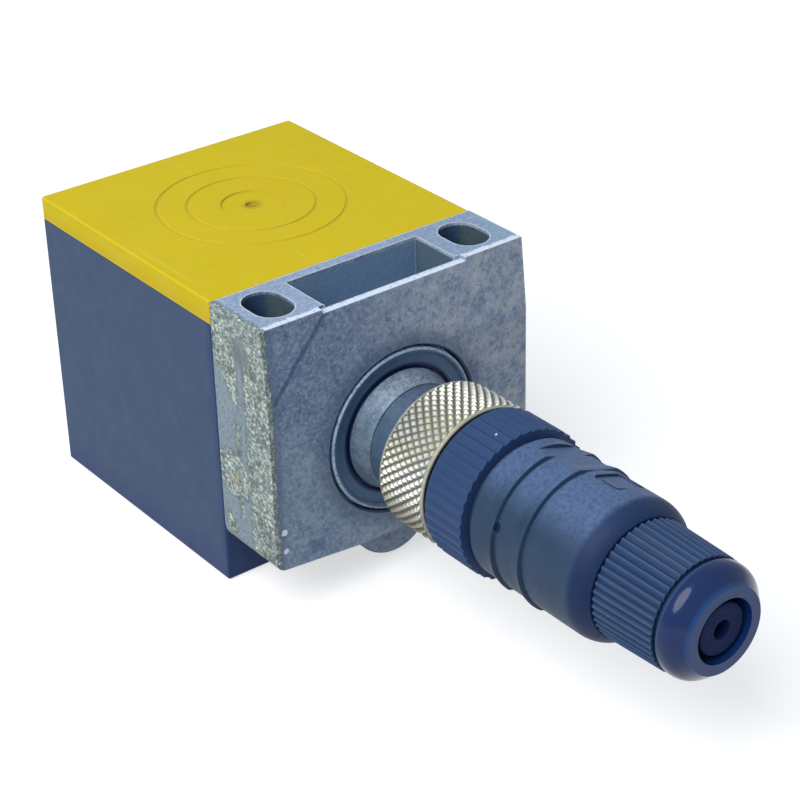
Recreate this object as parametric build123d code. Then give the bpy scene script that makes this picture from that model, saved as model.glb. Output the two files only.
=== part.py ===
from build123d import *
import os
from math import cos, pi, radians, sin

# An inductive proximity sensor with a cubic head, a die-cast swivel base and an M12 plug.
# Millimetres. The origin is the centre of the head's rear face, +Z leaves the yellow active face,
# and the connector points along -Y. Stations called "at" are distances in front of the head.

# Clearances
fit = 0.05
running_gap = 0.08
swivel_gap = 0.1

# Head
head_size = 40.0
corner_radius = 0.35
foot_edge_radius = 0.35
housing_wall = 2.0
housing_floor = 2.2
seam_chamfer = 0.2

# Active face cap
cap_height = 3.1
cap_edge_radius = 0.3
cap_roof = 1.6
skirt_wall = 1.2
skirt_depth = 3.0
ring_groove_radii = (12.7, 8.7)
ring_groove_width = 0.55
ring_groove_depth = 0.12
centre_recess_radius = 4.1
centre_recess_depth = 0.2
gate_radius = 0.95
gate_depth = 0.35

# Coil system
core_margin = 1.8
core_height = 8.6
core_wall = 2.4
core_base = 2.9
winding_space = 6.0
core_hole_radius = 2.7
bobbin_wall = 0.7
winding_margin = 0.6
cushion_thickness = 1.5
cushion_inset = 1.0
coil_pin_radius = 0.35
coil_pin_spread = 9.0
coil_pin_tail = 2.6

# Circuit board, its front face lies in the plane y = 0
board_margin = 2.5
board_thickness = 1.6
rail_height = 2.6
rail_width = 3.0
rail_thickness = 1.5
resin_gap = 1.3

# Parts on the board: place in from the board's side, up from the resin, then width, height and so on
oscillator_place = (7.5, 5.0)
oscillator_size = (7.0, 4.0, 1.6)
oscillator_legs = 7
driver_place = (8.0, 5.0)
driver_size = (6.5, 3.5, 1.7)
driver_legs = 3
diode_inset = 5.0
diode_drop = 4.3
diode_size = (2.6, 2.2, 2.0)
diode_legs = 1
leg_reach = 0.8
leg_share = 0.4
chip_lift = 0.1
can_places = (7.0, 13.0)
can_rise = 7.8
can_radius = 2.2
can_length = 5.5
can_bevel = 0.4
trimmer_inset = 8.0
trimmer_rise = 8.8
trimmer_width = 6.0
trimmer_depth = 4.5
trimmer_screw_radius = 1.4
trimmer_screw_height = 0.5
trimmer_slot_width = 0.4
trimmer_slot_depth = 0.25

# Swivel base
plate_thickness = 11.4
plate_setback = 0.9
plate_slope_height = 9.5
plate_foot = 5.9
plate_foot_width = 15.4
plate_foot_rise = 1.1
plate_corner_radius = 1.5
plate_heel_radius = 3.4
slot_spacing = 30.0
slot_width = 5.3
slot_length = 7.3
slot_at = 5.15
pocket_width = 20.0
pocket_length = 7.7
pocket_at = 5.6
pocket_depth = 7.0
pocket_corner_radius = 0.25
lip_width = 21.8
lip_drop = 0.5
collar_width = 1.5
collar_thickness = 1.0
bore_chamfer = 0.2
lobe_radius = 5.9
lobe_drop = 0.55
lobe_setback = 2.0
lobe_edge_radius = 1.2

# Turret
turret_radius = 11.2
turret_face_drop = 0.4
lip_height = 0.4
lip_ring_width = 0.75
lip_setback = 0.25
lip_setback_length = 1.6
lip_bevel = 0.2
dome_inset = 2.95
dome_groove_width = 0.3
dome_groove_depth = 0.4
dome_front_at = 14.0
dome_front_radius = 7.25
neck_radius = 6.95
neck_end_at = 19.0
tail_step = 2.2
tail_end_gap = 0.2

# Swivel lock, an M4 screw that drives a pad into the turret's groove
lock_at = 5.3
lock_radius = 2.0
lock_pad_radius = 1.2
lock_groove_depth = 1.1
lock_groove_floor = 0.3
lock_recess = 2.0
lock_pad_length = 2.3
lock_nose_length = 0.6
lock_screw_chamfer = 0.3
hex_size = 2.0
hex_depth = 1.9

# Ring nut and gasket behind the turret
ring_nut_thickness = 3.0
ring_nut_width = 2.5
spanner_notch = 2.0
gasket_inset = 0.7
gasket_width = 0.9
gasket_thickness = 0.85

# M12 connection
thread_radius = 6.0
thread_chamfer = 0.6
thread_end_at = 24.2
stub_bore_radius = 4.6
stub_floor_at = 16.8
pin_radius = 0.5
pin_bevel = 0.2
pin_circle_radius = 2.5
pin_tip_gap = 0.6
pin_tail = 1.6
carrier_radius = 4.95
wire_radius = 0.35
key_width = 0.9
key_height = 0.5

# Coupling nut
nut_radius = 9.7
nut_start_at = 18.7
nut_front_gap = 0.2
nut_shoulder = 0.95
nut_rim_width = 0.55
nut_rim_drop = 0.3
nut_rim_slope = 0.15
nut_rim_bevel = 0.2
nut_mouth_radius = 7.4
nut_mouth_depth = 0.8

# Plug insert
flange_thickness = 1.0
plug_seal_thickness = 0.85
insert_gap = 0.6
insert_bevel = 0.3
insert_neck_radius = 5.3
insert_drum_step = 0.5
barrel_radius = 6.9
barrel_length = 6.0
terminal_radius = 5.2
terminal_length = 6.9
contact_wall = 0.4
terminal_screw_radius = 1.0
terminal_screw_height = 2.0

# Ribbed ring
ring_radius = 9.8
ring_length = 7.1
ring_ribs = 44
rib_depth = 0.3
rib_lean = 0.3
ring_chamfer = 0.7
seal_seat_width = 1.5
body_seal_thickness = 0.9

# Grip body
body_length = 20.0
body_lip_radius = 8.3
body_lip_length = 0.85
body_lip_slope = 0.1
body_radius = 8.95
band_height = 0.35
band_run = 1.6
band_drop = 0.15
band_places = (4.8, 9.6)
shoulder_length = 2.8
shoulder_drop = 1.3
gland_bore_radius = 6.3
gland_rib_at = 12.4
gland_rib_thickness = 1.1
gland_rib_bore = 3.2
band_groove_width = 0.3
band_groove_depth = 0.2
hollow_angle = 71.0
hollow_floor = 8.45
hollow_start = 2.65
hollow_length = 5.0
hollow_ramp = 1.4
ridge_floor = 8.8
badge_start = 11.0
badge_length = 4.2
badge_width = 4.8
badge_corner = 0.8
badge_pad_width = 3.3
badge_pad_length = 2.8
badge_pad_height = 0.15
badge_pad_corner = 0.5

# Cable gland
thrust_thickness = 1.0
gland_wall = 1.0
cage_wall = 1.15
cage_slots = 6
cage_slot_width = 0.8
seal_hole_radius = 1.2
nose_radius = 3.25
nose_recess = 0.5
nose_edge_radius = 0.25
seal_taper = 1.0
entry_radius = 4.05
entry_length = 3.7
entry_cone = 2.4
clamp_gap = 0.15
clamp_length = 13.0
clamp_ribs = 48
clamp_radius = 7.55
clamp_tip_radius = 7.25
clamp_rib_length = 9.0
clamp_core_step = 1.0
clamp_neck_radius = 6.6
clamp_neck_length = 0.45
knob_radius = 7.15
knob_back_radius = 0.35
knob_front_radius = 2.2
knob_face_radius = 5.4
knob_slope_length = 2.0

# Places that follow from the sizes above
axis_z = head_size / 2
head_front = -head_size / 2
rim_z = head_size - cap_height
roof_z = head_size - cap_roof
board_at = head_front
core_z = roof_z - core_height
core_radius = head_size / 2 - housing_wall - skirt_wall - core_margin
core_post_radius = core_radius - core_wall - winding_space
board_width = head_size - 2 * (housing_wall + board_margin)
board_top = core_z - cushion_thickness
dome_radius = turret_radius - dome_inset
tail_radius = turret_radius - tail_step
gasket_radius = turret_radius - gasket_inset - gasket_width
ring_nut_radius = tail_radius + ring_nut_width
resin_top = axis_z - ring_nut_radius - resin_gap
base_bore = turret_radius + running_gap
turret_face_at = plate_thickness - turret_face_drop
collar_radius = base_bore + collar_width
seal_at = thread_end_at + fit
flange_at = seal_at + plug_seal_thickness + fit
shoulder_at = flange_at + flange_thickness + fit
nut_end_at = shoulder_at + nut_shoulder
ring_at = nut_end_at + nut_front_gap
ring_end_at = ring_at + ring_length
drum_end_at = ring_end_at - body_seal_thickness
body_at = ring_end_at + swivel_gap
body_end_at = body_at + body_length
barrel_end_at = drum_end_at + barrel_length
terminal_end_at = barrel_end_at + terminal_length
screw_at = terminal_end_at - terminal_length / 2
nose_at = stub_floor_at + insert_gap
contact_end_at = screw_at - terminal_screw_radius - 2 * fit
rib_at = body_at + gland_rib_at
thrust_at = rib_at + gland_rib_thickness + fit
clamp_front_at = thrust_at + thrust_thickness + fit
clamp_at = body_end_at + clamp_gap
clamp_end_at = clamp_at + clamp_length
clamp_barrel_radius = gland_bore_radius - running_gap
clamp_bore = clamp_barrel_radius - gland_wall
lock_tip_z = axis_z - turret_radius + lock_groove_depth - swivel_gap
lock_cone_z = lock_tip_z - (lock_pad_radius - lock_groove_floor)
lock_shoulder_z = lock_cone_z - lock_nose_length
lock_joint_z = lock_shoulder_z - lock_pad_length
cage_radius = clamp_bore - running_gap
cable_seal_radius = cage_radius - cage_wall - fit
insert_drum_radius = barrel_radius + insert_drum_step
seal_seat_radius = barrel_radius + seal_seat_width
entry_cone_at = clamp_end_at - entry_length - entry_cone

connector_axis = Axis((0, head_front, axis_z), (0, -1, 0))
side_plane = Plane(origin=(0, head_front, axis_z), x_dir=(0, -1, 0), z_dir=(-1, 0, 0))


def front_plane(at):
    """The plane across the connector axis, with local x along +X and local y along +Z."""
    return Plane(origin=(0, head_front - at, axis_z), x_dir=(1, 0, 0), z_dir=(0, -1, 0))


def turned(points, rounds=(), bevels=()):
    """A solid of revolution about the connector axis, from (at, radius) points, with corners eased."""
    section = make_face(Polyline(*points, close=True))
    for at, radius, size in rounds:
        section = fillet(section.vertices().sort_by_distance((at, radius))[0], size)
    for at, radius, size in bevels:
        section = chamfer(section.vertices().sort_by_distance((at, radius))[0], size)
    return spun(section)


def spun(section):
    """A drawn section, turned about the connector axis."""
    return revolve(side_plane * section, axis=connector_axis)


def tube(start, end, outer, inner):
    """A plain tube on the connector axis."""
    return turned([(start, inner), (end, inner), (end, outer), (start, outer)])


def rod(start, end, radius):
    """A plain rod on the connector axis."""
    return extrude(front_plane(start) * Circle(radius), amount=end - start)


def block(x, y, z):
    """A box from three pairs of limits."""
    size = (x[1] - x[0], y[1] - y[0], z[1] - z[0])
    return Pos(sum(x) / 2, sum(y) / 2, sum(z) / 2) * Box(*size)


def upright(radius, low, high, x=0.0, y=0.0):
    """A vertical cylinder between two heights."""
    return Pos(x, y, (low + high) / 2) * Cylinder(radius, high - low)


def pin_places():
    """The four contact places on the M12 pitch circle."""
    angles = [radians(45 + 90 * turn) for turn in range(4)]
    return [(pin_circle_radius * cos(a), pin_circle_radius * sin(a)) for a in angles]


def on_pins(start, end, outer, inner=0.0):
    """Four rods or tubes along the contact places."""
    ring = Circle(outer) - Circle(inner) if inner else Circle(outer)
    return [
        extrude(front_plane(start) * Pos(x, z) * ring, amount=end - start)
        for x, z in pin_places()
    ]


def rib_outline(radius, ribs):
    """A saw-toothed ring of ribs as a closed outline."""
    pitch = 2 * pi / ribs
    points = []
    for rib in range(ribs):
        for turn, reach in ((0.0, radius - rib_depth), (rib_lean, radius)):
            angle = (rib + turn) * pitch
            points.append((reach * cos(angle), reach * sin(angle)))
    return make_face(Polyline(*points, close=True))


def active_face():
    """The moulded cap over the coil, with ring marks and a skirt that plugs into the housing."""
    cap = block((-head_size / 2, head_size / 2), (head_front, -head_front), (rim_z, head_size))
    cap = fillet(cap.edges().filter_by(Axis.Z), corner_radius)
    cap = fillet(cap.faces().sort_by(Axis.Z)[-1].edges(), cap_edge_radius)
    reach = head_size / 2 - housing_wall - fit
    skirt = block((-reach, reach), (-reach, reach), (rim_z - skirt_depth, rim_z))
    hollow = reach - skirt_wall
    skirt -= block((-hollow, hollow), (-hollow, hollow), (rim_z - skirt_depth, rim_z))
    cap += skirt
    cap -= upright(core_radius + fit, rim_z - skirt_depth, roof_z)
    for radius in ring_groove_radii:
        outer = upright(radius, head_size - ring_groove_depth, head_size)
        cap -= outer - upright(radius - ring_groove_width, head_size - ring_groove_depth, head_size)
    recess_floor = head_size - centre_recess_depth
    cap -= upright(centre_recess_radius, recess_floor, head_size)
    cap -= upright(gate_radius, recess_floor - gate_depth, recess_floor)
    return cap


def housing():
    """The moulded shell, open at the top, with rails for the board and a hole for the turret."""
    half = head_size / 2
    shell = block((-half, half), (-half, half), (0, rim_z))
    shell = fillet(shell.edges().filter_by(Axis.Z), corner_radius)
    shell = fillet(shell.faces().sort_by(Axis.Z)[0].edges(), foot_edge_radius)
    shell = chamfer(shell.faces().sort_by(Axis.Z)[-1].edges(), seam_chamfer)
    inner = half - housing_wall
    shell -= block((-inner, inner), (-inner, inner), (housing_floor, rim_z))
    shell -= rod(-housing_wall, 0, tail_radius + fit)
    rail_top = housing_floor + rail_height
    for side in (-1, 1):
        middle = side * (board_width / 2 - rail_width / 2)
        sides = (middle - rail_width / 2, middle + rail_width / 2)
        depth = (-rail_thickness, board_thickness + rail_thickness)
        rail = block(sides, depth, (housing_floor, rail_top))
        rail -= block(sides, (-fit, board_thickness + fit), (housing_floor, rail_top))
        shell += rail
    return shell


def ferrite_core():
    """Half of a pot core, open towards the active face, with two slots for the coil pins."""
    core = upright(core_radius, core_z, roof_z)
    core -= upright(core_radius - core_wall, core_z + core_base, roof_z)
    core += upright(core_post_radius, core_z, roof_z)
    core -= upright(core_hole_radius, core_z, roof_z)
    return core - coil_pin_slots(core_z, core_z + core_base)


def coil_pin_slots(low, high):
    """Two round holes that the coil pins pass through with room to spare."""
    places = [side * coil_pin_spread for side in (-1, 1)]
    return [upright(2 * coil_pin_radius, low, high, x, -coil_pin_radius) for x in places]


def bobbin_limits():
    """Inner radius, outer radius, floor and top of the coil former."""
    inner = core_post_radius + fit
    outer = core_radius - core_wall - fit
    return inner, outer, core_z + core_base, roof_z - fit


def coil_bobbin():
    """The coil former round the centre post."""
    inner, outer, low, high = bobbin_limits()
    former = upright(outer, low, high) - upright(inner, low, high)
    waist = upright(outer, low + bobbin_wall, high - bobbin_wall)
    return former - (waist - upright(inner + bobbin_wall, low, high))


def coil_winding():
    """The enamelled copper winding as one body on its former."""
    inner, outer, low, high = bobbin_limits()
    low = low + bobbin_wall
    high = high - bobbin_wall
    return upright(outer - winding_margin, low, high) - upright(inner + bobbin_wall, low, high)


def core_cushion():
    """The foam disc that presses the core against the cap."""
    pad = upright(core_radius - cushion_inset, board_top, core_z)
    return pad - coil_pin_slots(board_top, core_z)


def coil_pins():
    """The two pins that carry the coil's ends down to the board."""
    y = -coil_pin_radius - fit
    top = core_z + core_base
    low = board_top - coil_pin_tail
    return [upright(coil_pin_radius, low, top, side * coil_pin_spread, y) for side in (-1, 1)]


def circuit_board():
    """The glass-fibre board that stands in the housing's rails."""
    half = board_width / 2
    return block((-half, half), (0, board_thickness), (housing_floor, board_top))


def chip(x, z, width, height, thickness, legs):
    """A small chip on the front of the board, with legs along two sides."""
    low = z - height / 2
    high = z + height / 2
    body = block((x - width / 2, x + width / 2), (-thickness, -chip_lift), (low, high))
    step = width / legs
    for leg in range(legs):
        middle = x - width / 2 + (leg + 0.5) * step
        span = (middle - step * leg_share / 2, middle + step * leg_share / 2)
        body += block(span, (-thickness / 2, 0), (low - leg_reach, high + leg_reach))
    return body


def oscillator_chip():
    """The oscillator and switching circuit."""
    inset, rise = oscillator_place
    return chip(inset - board_width / 2, resin_top + rise, *oscillator_size, oscillator_legs)


def output_driver():
    """The output transistor."""
    inset, rise = driver_place
    return chip(board_width / 2 - inset, resin_top + rise, *driver_size, driver_legs)


def protection_diodes():
    """Two diodes that guard the supply and the output."""
    spread = board_width / 2 - diode_inset
    z = board_top - diode_drop
    return [chip(side * spread, z, *diode_size, diode_legs) for side in (-1, 1)]


def capacitors():
    """Two canned capacitors on the back of the board."""
    can = Rot(-90, 0, 0) * extrude(Circle(can_radius), amount=can_length)
    can = chamfer(can.edges().sort_by(Axis.Y)[-1], can_bevel)
    z = resin_top + can_rise
    return [Pos(inset - board_width / 2, board_thickness, z) * can for inset in can_places]


def trim_resistor():
    """The trimmer that sets the switching distance at the factory."""
    back = board_thickness + trimmer_depth
    z = resin_top + trimmer_rise
    x = board_width / 2 - trimmer_inset
    across = (x - trimmer_width / 2, x + trimmer_width / 2)
    height = (z - trimmer_width / 2, z + trimmer_width / 2)
    body = block(across, (board_thickness, back), height)
    screw = Rot(-90, 0, 0) * extrude(Circle(trimmer_screw_radius), amount=trimmer_screw_height)
    slot_floor = trimmer_screw_height - trimmer_slot_depth
    slot_half = trimmer_slot_width / 2
    screw -= block(
        (-trimmer_screw_radius, trimmer_screw_radius),
        (slot_floor, trimmer_screw_height),
        (-slot_half, slot_half),
    )
    return body + Pos(x, back, z) * screw


def potting_resin():
    """The cast resin that locks the foot of the board."""
    reach = head_size / 2 - housing_wall - fit
    resin = block((-reach, reach), (-reach, reach), (housing_floor, resin_top))
    half = board_width / 2 + fit
    depth = (-rail_thickness - fit, board_thickness + rail_thickness + fit)
    return resin - block((-half, half), depth, (housing_floor, resin_top))


def turret():
    """The die-cast swivel that carries the head: barrel, lock groove, lip, dome, neck and M12 stub."""
    groove_half = lock_groove_depth + lock_groove_floor
    groove_radius = turret_radius - lock_groove_depth
    front_radius = turret_radius - lip_setback
    lip_inner = front_radius - lip_ring_width
    tail_at = -housing_wall - ring_nut_thickness - tail_end_gap
    lip_at = turret_face_at + lip_height
    groove_floor_at = turret_face_at - dome_groove_depth
    outline = [
        (tail_at, carrier_radius + fit),
        (stub_floor_at, carrier_radius + fit),
        (stub_floor_at, stub_bore_radius),
        (thread_end_at, stub_bore_radius),
        (thread_end_at, thread_radius - thread_chamfer),
        (thread_end_at - thread_chamfer, thread_radius),
        (neck_end_at, thread_radius),
        (neck_end_at, neck_radius),
        (dome_front_at, neck_radius),
        (dome_front_at, dome_front_radius),
        (groove_floor_at, dome_radius),
        (groove_floor_at, dome_radius + dome_groove_width),
        (turret_face_at, dome_radius + dome_groove_width),
        (turret_face_at, lip_inner),
        (lip_at, lip_inner + lip_height / 2),
        (lip_at, front_radius),
        (lip_at - lip_setback_length, front_radius),
        (lip_at - lip_setback_length, turret_radius),
        (lock_at + groove_half, turret_radius),
        (lock_at + lock_groove_floor, groove_radius),
        (lock_at - lock_groove_floor, groove_radius),
        (lock_at - groove_half, turret_radius),
        (0, turret_radius),
        (0, gasket_radius + gasket_width + fit),
        (gasket_thickness + fit, gasket_radius + gasket_width + fit),
        (gasket_thickness + fit, gasket_radius - fit),
        (0, gasket_radius - fit),
        (0, tail_radius),
        (tail_at, tail_radius),
    ]
    body = turned(outline, bevels=[(lip_at, front_radius, lip_bevel)])
    key_low = stub_bore_radius - key_height
    key_high = (stub_bore_radius + thread_radius) / 2
    key = Pos(0, (key_low + key_high) / 2) * Rectangle(key_width, key_high - key_low)
    key_length = thread_end_at - thread_chamfer - stub_floor_at
    return body + extrude(front_plane(stub_floor_at) * key, amount=key_length)


def turret_gasket():
    """The flat gasket between the turret and the housing."""
    return tube(0, gasket_thickness, gasket_radius + gasket_width, gasket_radius)


def turret_nut():
    """The notched ring nut that clamps the turret from inside the housing."""
    start = -housing_wall - ring_nut_thickness
    nut = tube(start, -housing_wall, ring_nut_radius, tail_radius + fit)
    notch = Pos(ring_nut_radius, 0) * Rectangle(ring_nut_width, spanner_notch)
    for turn in range(4):
        nut -= extrude(front_plane(start) * Rot(0, 0, 45 + 90 * turn) * notch, amount=ring_nut_thickness)
    return nut


def contact_carrier():
    """The insulating insert that holds the male contacts."""
    start = -housing_wall - ring_nut_thickness
    carrier = rod(start, stub_floor_at, carrier_radius)
    for hole in on_pins(start, stub_floor_at, pin_radius + fit / 2):
        carrier -= hole
    return carrier


def pin_tail_at():
    """Where the male contacts end behind their carrier."""
    return -housing_wall - ring_nut_thickness - pin_tail


def contact_pins():
    """The four male contacts, with bevelled tips."""
    tip_at = thread_end_at - pin_tip_gap
    pins = on_pins(pin_tail_at(), tip_at, pin_radius)
    return [chamfer(pin.edges().sort_by(Axis.Y)[0], pin_bevel) for pin in pins]


def lead_wires():
    """The four wires from the contacts to the board."""
    return on_pins(board_at, pin_tail_at(), wire_radius)


def plate_blank():
    """The casting's outline: its front leans back towards the top, and its foot falls to the middle."""
    half = head_size / 2
    back = head_front - swivel_gap
    front = head_front - plate_thickness
    side = Polyline(
        (back, plate_foot),
        (back, head_size),
        (front + plate_setback, head_size),
        (front, head_size - plate_slope_height),
        (front, plate_foot),
        close=True,
    )
    side = make_face(side)
    heel = side.vertices().sort_by_distance((back, plate_foot))[0]
    side = fillet(heel, plate_heel_radius)
    across = Plane(origin=(-half, 0, 0), x_dir=(0, 1, 0), z_dir=(1, 0, 0))
    middle = plate_foot_width / 2
    face = Polyline(
        (-half, plate_foot + plate_foot_rise),
        (-middle, plate_foot),
        (middle, plate_foot),
        (half, plate_foot + plate_foot_rise),
        (half, head_size),
        (-half, head_size),
        close=True,
    )
    face = make_face(face)
    corners = [corner for corner in face.vertices() if abs(corner.X) > middle and corner.Y < axis_z]
    face = fillet(corners, plate_corner_radius)
    root = Plane(origin=(0, back, 0), x_dir=(1, 0, 0), z_dir=(0, -1, 0))
    return extrude(across * side, amount=head_size) & extrude(root * face, amount=plate_thickness)


def lobe():
    """The round boss for the lock screw, which hangs below the casting's lower edge."""
    start = front_plane(swivel_gap) * Pos(0, lobe_drop + lobe_radius - axis_z)
    disc = extrude(start * Circle(lobe_radius), amount=plate_thickness - lobe_setback - swivel_gap)
    return fillet(disc.faces().sort_by(Axis.Y)[0].edges(), lobe_edge_radius)


def base_plate():
    """The die-cast base: slots, top pocket, swivel bore with its collar, and the lock screw's hole."""
    front = head_front - plate_thickness
    plate = plate_blank() + lobe()
    plate += rod(plate_thickness - collar_thickness, plate_thickness, collar_radius)
    plate -= rod(0, plate_thickness, base_bore)
    plate -= turned(
        [
            (plate_thickness - bore_chamfer, base_bore),
            (plate_thickness, base_bore),
            (plate_thickness, base_bore + bore_chamfer),
        ]
    )
    slot = Rot(0, 0, 90) * SlotOverall(slot_length, slot_width)
    for side in (-1, 1):
        place = Pos(side * slot_spacing / 2, head_front - slot_at)
        plate -= extrude(place * slot, amount=head_size)
    pocket = RectangleRounded(pocket_width, pocket_length, pocket_corner_radius)
    floor = Pos(0, head_front - pocket_at, head_size - pocket_depth)
    plate -= extrude(floor * pocket, amount=pocket_depth)
    lip = (-lip_width / 2, lip_width / 2)
    lip_depth = (front, head_front - pocket_at - pocket_length / 2)
    plate -= block(lip, lip_depth, (head_size - lip_drop, head_size))
    plate -= upright(lock_radius + running_gap, 0, axis_z - lock_radius, 0, head_front - lock_at)
    return plate


def lock_screw():
    """The socket set screw in the lobe."""
    y = head_front - lock_at
    screw = upright(lock_radius, lock_recess, lock_joint_z, 0, y)
    screw = chamfer(screw.edges(), lock_screw_chamfer)
    socket = RegularPolygon(hex_size / 2, 6, major_radius=False)
    return screw - extrude(Pos(0, y, lock_recess) * socket, amount=hex_depth)


def lock_pad():
    """The brass pad that the lock screw presses into the turret's groove."""
    y = head_front - lock_at
    pad = upright(lock_radius, lock_joint_z, lock_shoulder_z, 0, y)
    pad += upright(lock_pad_radius, lock_shoulder_z, lock_cone_z, 0, y)
    cone = Cone(lock_pad_radius, lock_groove_floor, lock_tip_z - lock_cone_z)
    return pad + Pos(0, y, (lock_cone_z + lock_tip_z) / 2) * cone


def coupling_nut():
    """The knurled nut: thread bore, inner shoulder and two smooth rims."""
    rim = nut_radius - nut_rim_drop
    start = nut_start_at
    end = nut_end_at
    outline = [
        (start, nut_mouth_radius),
        (start + nut_mouth_depth, nut_mouth_radius),
        (start + nut_mouth_depth, thread_radius + running_gap),
        (shoulder_at, thread_radius + running_gap),
        (shoulder_at, insert_neck_radius + running_gap),
        (end, insert_neck_radius + running_gap),
        (end, rim),
        (end - nut_rim_width, rim),
        (end - nut_rim_width - nut_rim_slope, nut_radius),
        (start + nut_rim_width + nut_rim_slope, nut_radius),
        (start + nut_rim_width, rim),
        (start, rim),
    ]
    return turned(outline, bevels=[(start, rim, nut_rim_bevel), (end, rim, nut_rim_bevel)])


def socket_insert():
    """The female insert: nose with a key slot, flange, neck, drum, threaded barrel and terminal block."""
    flange_radius = thread_radius - fit
    tip_radius = stub_bore_radius - swivel_gap
    outline = [
        (nose_at, 0),
        (nose_at, tip_radius),
        (flange_at, tip_radius),
        (flange_at, flange_radius),
        (flange_at + flange_thickness, flange_radius),
        (flange_at + flange_thickness, insert_neck_radius),
        (ring_at, insert_neck_radius),
        (ring_at, insert_drum_radius),
        (drum_end_at, insert_drum_radius),
        (drum_end_at, barrel_radius),
        (barrel_end_at, barrel_radius),
        (barrel_end_at, terminal_radius),
        (terminal_end_at, terminal_radius),
        (terminal_end_at, 0),
    ]
    insert = turned(outline, bevels=[(nose_at, tip_radius, insert_bevel)])
    slot_low = stub_bore_radius - key_height - 2 * swivel_gap
    slot = Pos(0, slot_low + key_height) * Rectangle(key_width + 2 * swivel_gap, 2 * key_height)
    insert -= extrude(front_plane(nose_at) * slot, amount=flange_at - nose_at)
    hole = pin_radius + contact_wall + 2 * fit
    for bore in on_pins(nose_at, contact_end_at + fit, hole):
        insert -= bore
    for screw in radial_pegs(screw_at, terminal_radius - terminal_screw_height - fit, terminal_radius, fit):
        insert -= screw
    return insert


def radial_pegs(at, low, high, growth=0.0):
    """Four short pegs that point away from the axis at one station."""
    pegs = []
    for turn in range(4):
        angle = 45 + 90 * turn
        way = (cos(radians(angle)), 0, sin(radians(angle)))
        foot = Plane(origin=(low * way[0], head_front - at, axis_z + low * way[2]), z_dir=way)
        pegs.append(extrude(foot * Circle(terminal_screw_radius + growth), amount=high - low))
    return pegs


def terminal_screws():
    """The four screws that clamp the wires in the insert."""
    low = terminal_radius - terminal_screw_height
    return radial_pegs(screw_at, low, terminal_radius - 2 * fit)


def socket_contacts():
    """The four female contact tubes."""
    return on_pins(nose_at + fit, contact_end_at, pin_radius + contact_wall + fit, pin_radius + fit)


def plug_seal():
    """The ring seal between the stub's end and the insert's flange."""
    outer = thread_radius - fit
    inner = stub_bore_radius - swivel_gap + fit
    return tube(seal_at, seal_at + plug_seal_thickness, outer, inner)


def ribbed_ring():
    """The ribbed ring behind the nut, chamfered towards it, with a seat for the body seal."""
    seat_at = drum_end_at - fit
    ribs = extrude(front_plane(ring_at) * rib_outline(ring_radius, ring_ribs), amount=ring_length)
    limit = turned(
        [
            (ring_at, 0),
            (ring_at, ring_radius - ring_chamfer),
            (ring_at + ring_chamfer, ring_radius),
            (ring_end_at, ring_radius),
            (ring_end_at, 0),
        ]
    )
    ring = ribs & limit
    ring -= rod(ring_at, seat_at, insert_drum_radius + fit)
    return ring - rod(seat_at, ring_end_at, seal_seat_radius)


def body_seal():
    """The ring seal between the ribbed ring and the grip body."""
    return tube(drum_end_at, ring_end_at + fit, seal_seat_radius - fit, barrel_radius + 2 * fit)


def grip_profile():
    """The grip body's outline, with a raised band and a narrow groove at each step."""
    start = body_at + body_lip_length
    outer = [(body_at, body_lip_radius), (start, body_lip_radius), (start + body_lip_slope, body_radius)]
    for place in band_places:
        crest_at = body_at + place
        outer.append((crest_at - band_run, body_radius))
        outer.append((crest_at, body_radius + band_height))
        groove_at = crest_at + band_drop
        groove_radius = body_radius - band_groove_depth
        outer.append((groove_at, groove_radius))
        outer.append((groove_at + band_groove_width, groove_radius))
        outer.append((groove_at + band_groove_width + band_groove_depth, body_radius))
    return outer


def grip_body():
    """The moulded grip: stepped bands, hollows with bare pads on two sides, round shoulder, gland bore."""
    barrel_bore = barrel_radius + fit
    mouth_radius = body_radius - shoulder_drop
    inner = [
        (body_end_at, mouth_radius),
        (body_end_at, gland_bore_radius),
        (rib_at + gland_rib_thickness, gland_bore_radius),
        (rib_at + gland_rib_thickness, gland_rib_bore),
        (rib_at, gland_rib_bore),
        (rib_at, terminal_radius + 4 * fit),
        (barrel_end_at + fit, terminal_radius + 4 * fit),
        (barrel_end_at + fit, barrel_bore),
        (body_at, barrel_bore),
        (body_at, body_lip_radius),
    ]
    shoulder_start = (body_end_at - shoulder_length, body_radius)
    shoulder = TangentArc(shoulder_start, (body_end_at, mouth_radius), tangent=(1, 0))
    edges = Polyline(*grip_profile(), shoulder_start) + shoulder + Polyline(*inner)
    body = spun(make_face(edges))
    for angle in (hollow_angle, hollow_angle + 180):
        body -= grip_hollow(angle)
        body += badge_pad(angle)
    return body


def grip_hollow(angle):
    """What one side of the grip loses: a ramped hollow, a low ridge and a recess for the pad."""
    top = body_radius + 2 * band_height
    start = body_at + hollow_start
    ramp_at = start + hollow_length
    ridge_at = ramp_at + hollow_ramp
    end = body_at + badge_start
    points = [(start, top), (start, hollow_floor), (ramp_at, hollow_floor)]
    points += [(ridge_at, ridge_floor), (end, ridge_floor), (end, top)]
    section = make_face(Polyline(*points, close=True))
    for at, radius in ((ramp_at, hollow_floor), (ridge_at, ridge_floor)):
        section = fillet(section.vertices().sort_by_distance((at, radius))[0], hollow_ramp / 2)
    across = Plane(
        origin=(0, head_front, axis_z),
        x_dir=(0, -1, 0),
        z_dir=(-sin(radians(angle)), 0, cos(radians(angle))),
    )
    hollow = extrude(across * section, amount=body_radius / 2, both=True)
    recess = RectangleRounded(badge_length, badge_width, badge_corner)
    return hollow + extrude(badge_place(angle, hollow_floor) * recess, amount=top - hollow_floor)


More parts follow.
